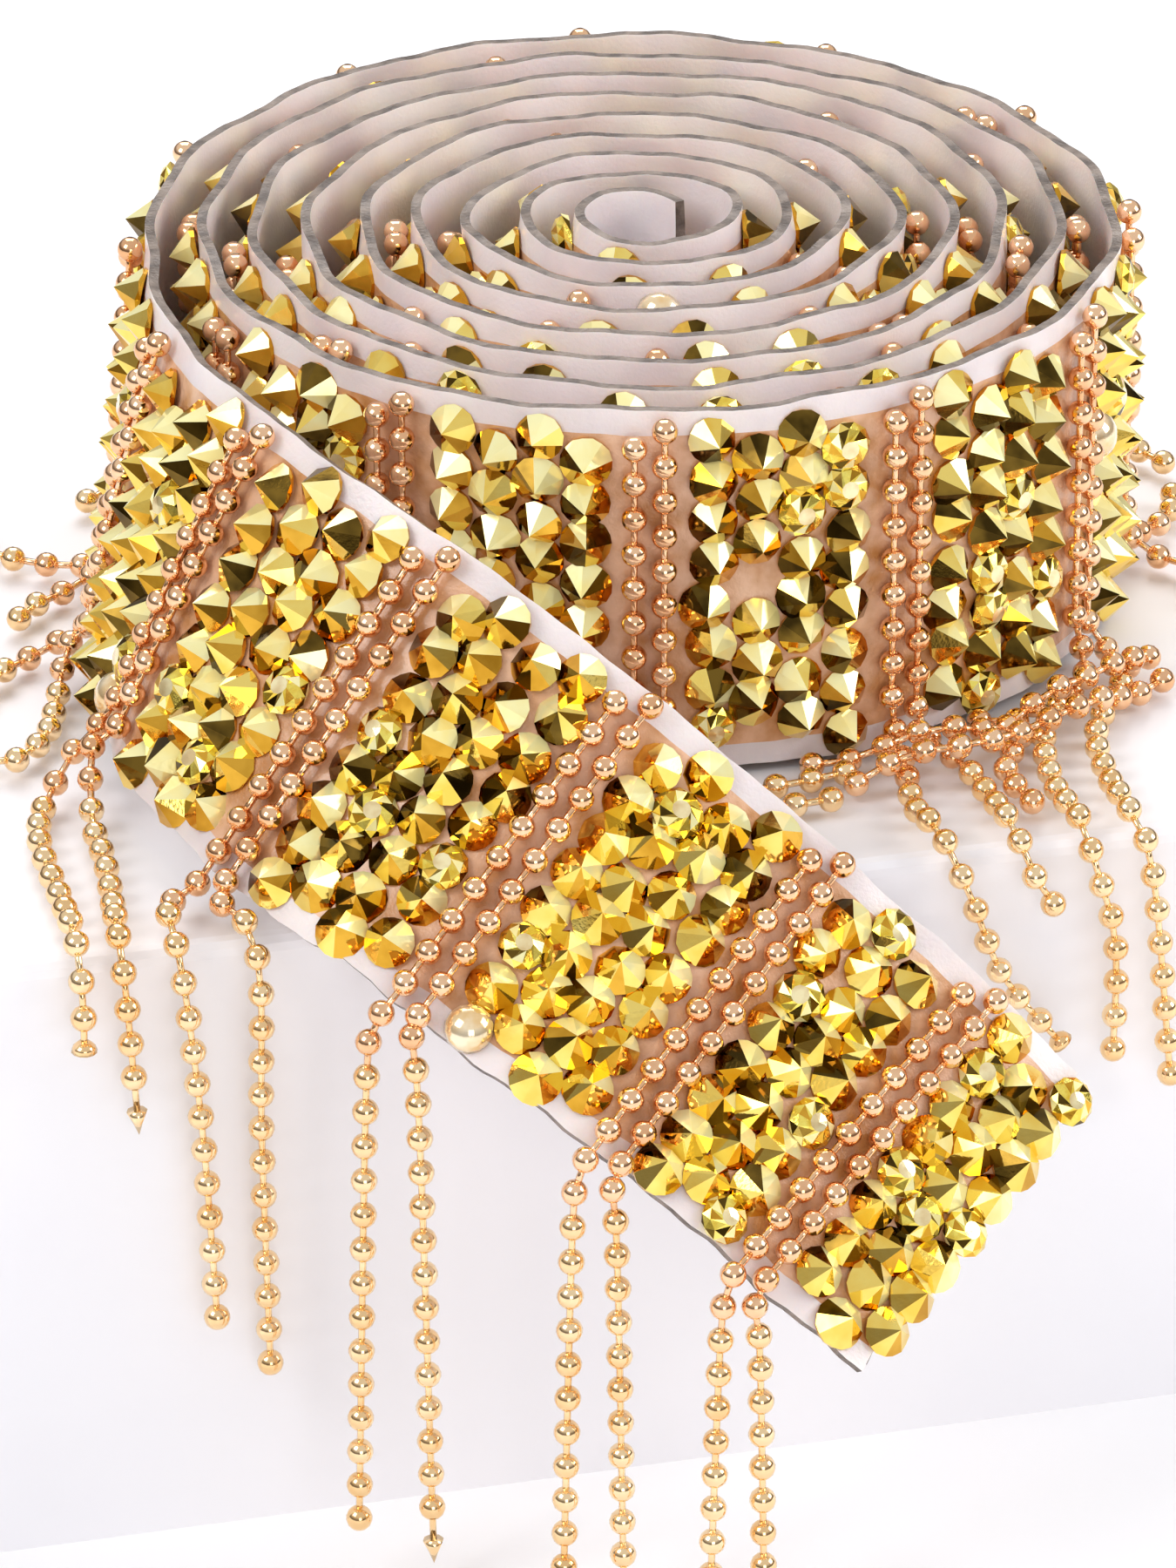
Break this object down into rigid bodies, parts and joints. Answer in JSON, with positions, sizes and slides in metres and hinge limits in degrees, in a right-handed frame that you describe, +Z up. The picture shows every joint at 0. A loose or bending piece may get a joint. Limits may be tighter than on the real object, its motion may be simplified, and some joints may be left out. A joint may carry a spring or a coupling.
{
  "type": "rhinestone ribbon roll on a display block",
  "caption": "Adhesive ribbon set with cone rhinestones, loosely rolled on edge, its free end and ball chain fringe falling over the front of a plain display block.",
  "frame": {"origin": "centre of the display block's bottom face", "axes": "+Z up, +X along the block's front edge to the right, front at -Y"},
  "size_m": [0.15, 0.1653, 0.1013],
  "materials": {
    "white_board": "satin white",
    "glue_film": "translucent glue film",
    "copper_chain": "polished copper"
  },
  "bodies": {
    "root": {"display_block": "white_board", "ribbon": "glue_film", "chain_roll_1": "copper_chain", "chain_roll_2": "copper_chain", "chain_roll_3": "copper_chain", "chain_roll_4": "copper_chain", "chain_roll_5": "copper_chain", "chain_roll_6": "copper_chain", "chain_roll_7": "copper_chain", "chain_roll_8": "copper_chain", "chain_roll_9": "copper_chain", "chain_roll_10": "copper_chain", "chain_roll_11": "copper_chain", "chain_tail_1": "copper_chain", "chain_tail_2": "copper_chain", "chain_tail_3": "copper_chain", "chain_tail_4": "copper_chain", "chain_tail_5": "copper_chain", "chain_tail_6": "copper_chain"}
  },
  "joints": []
}
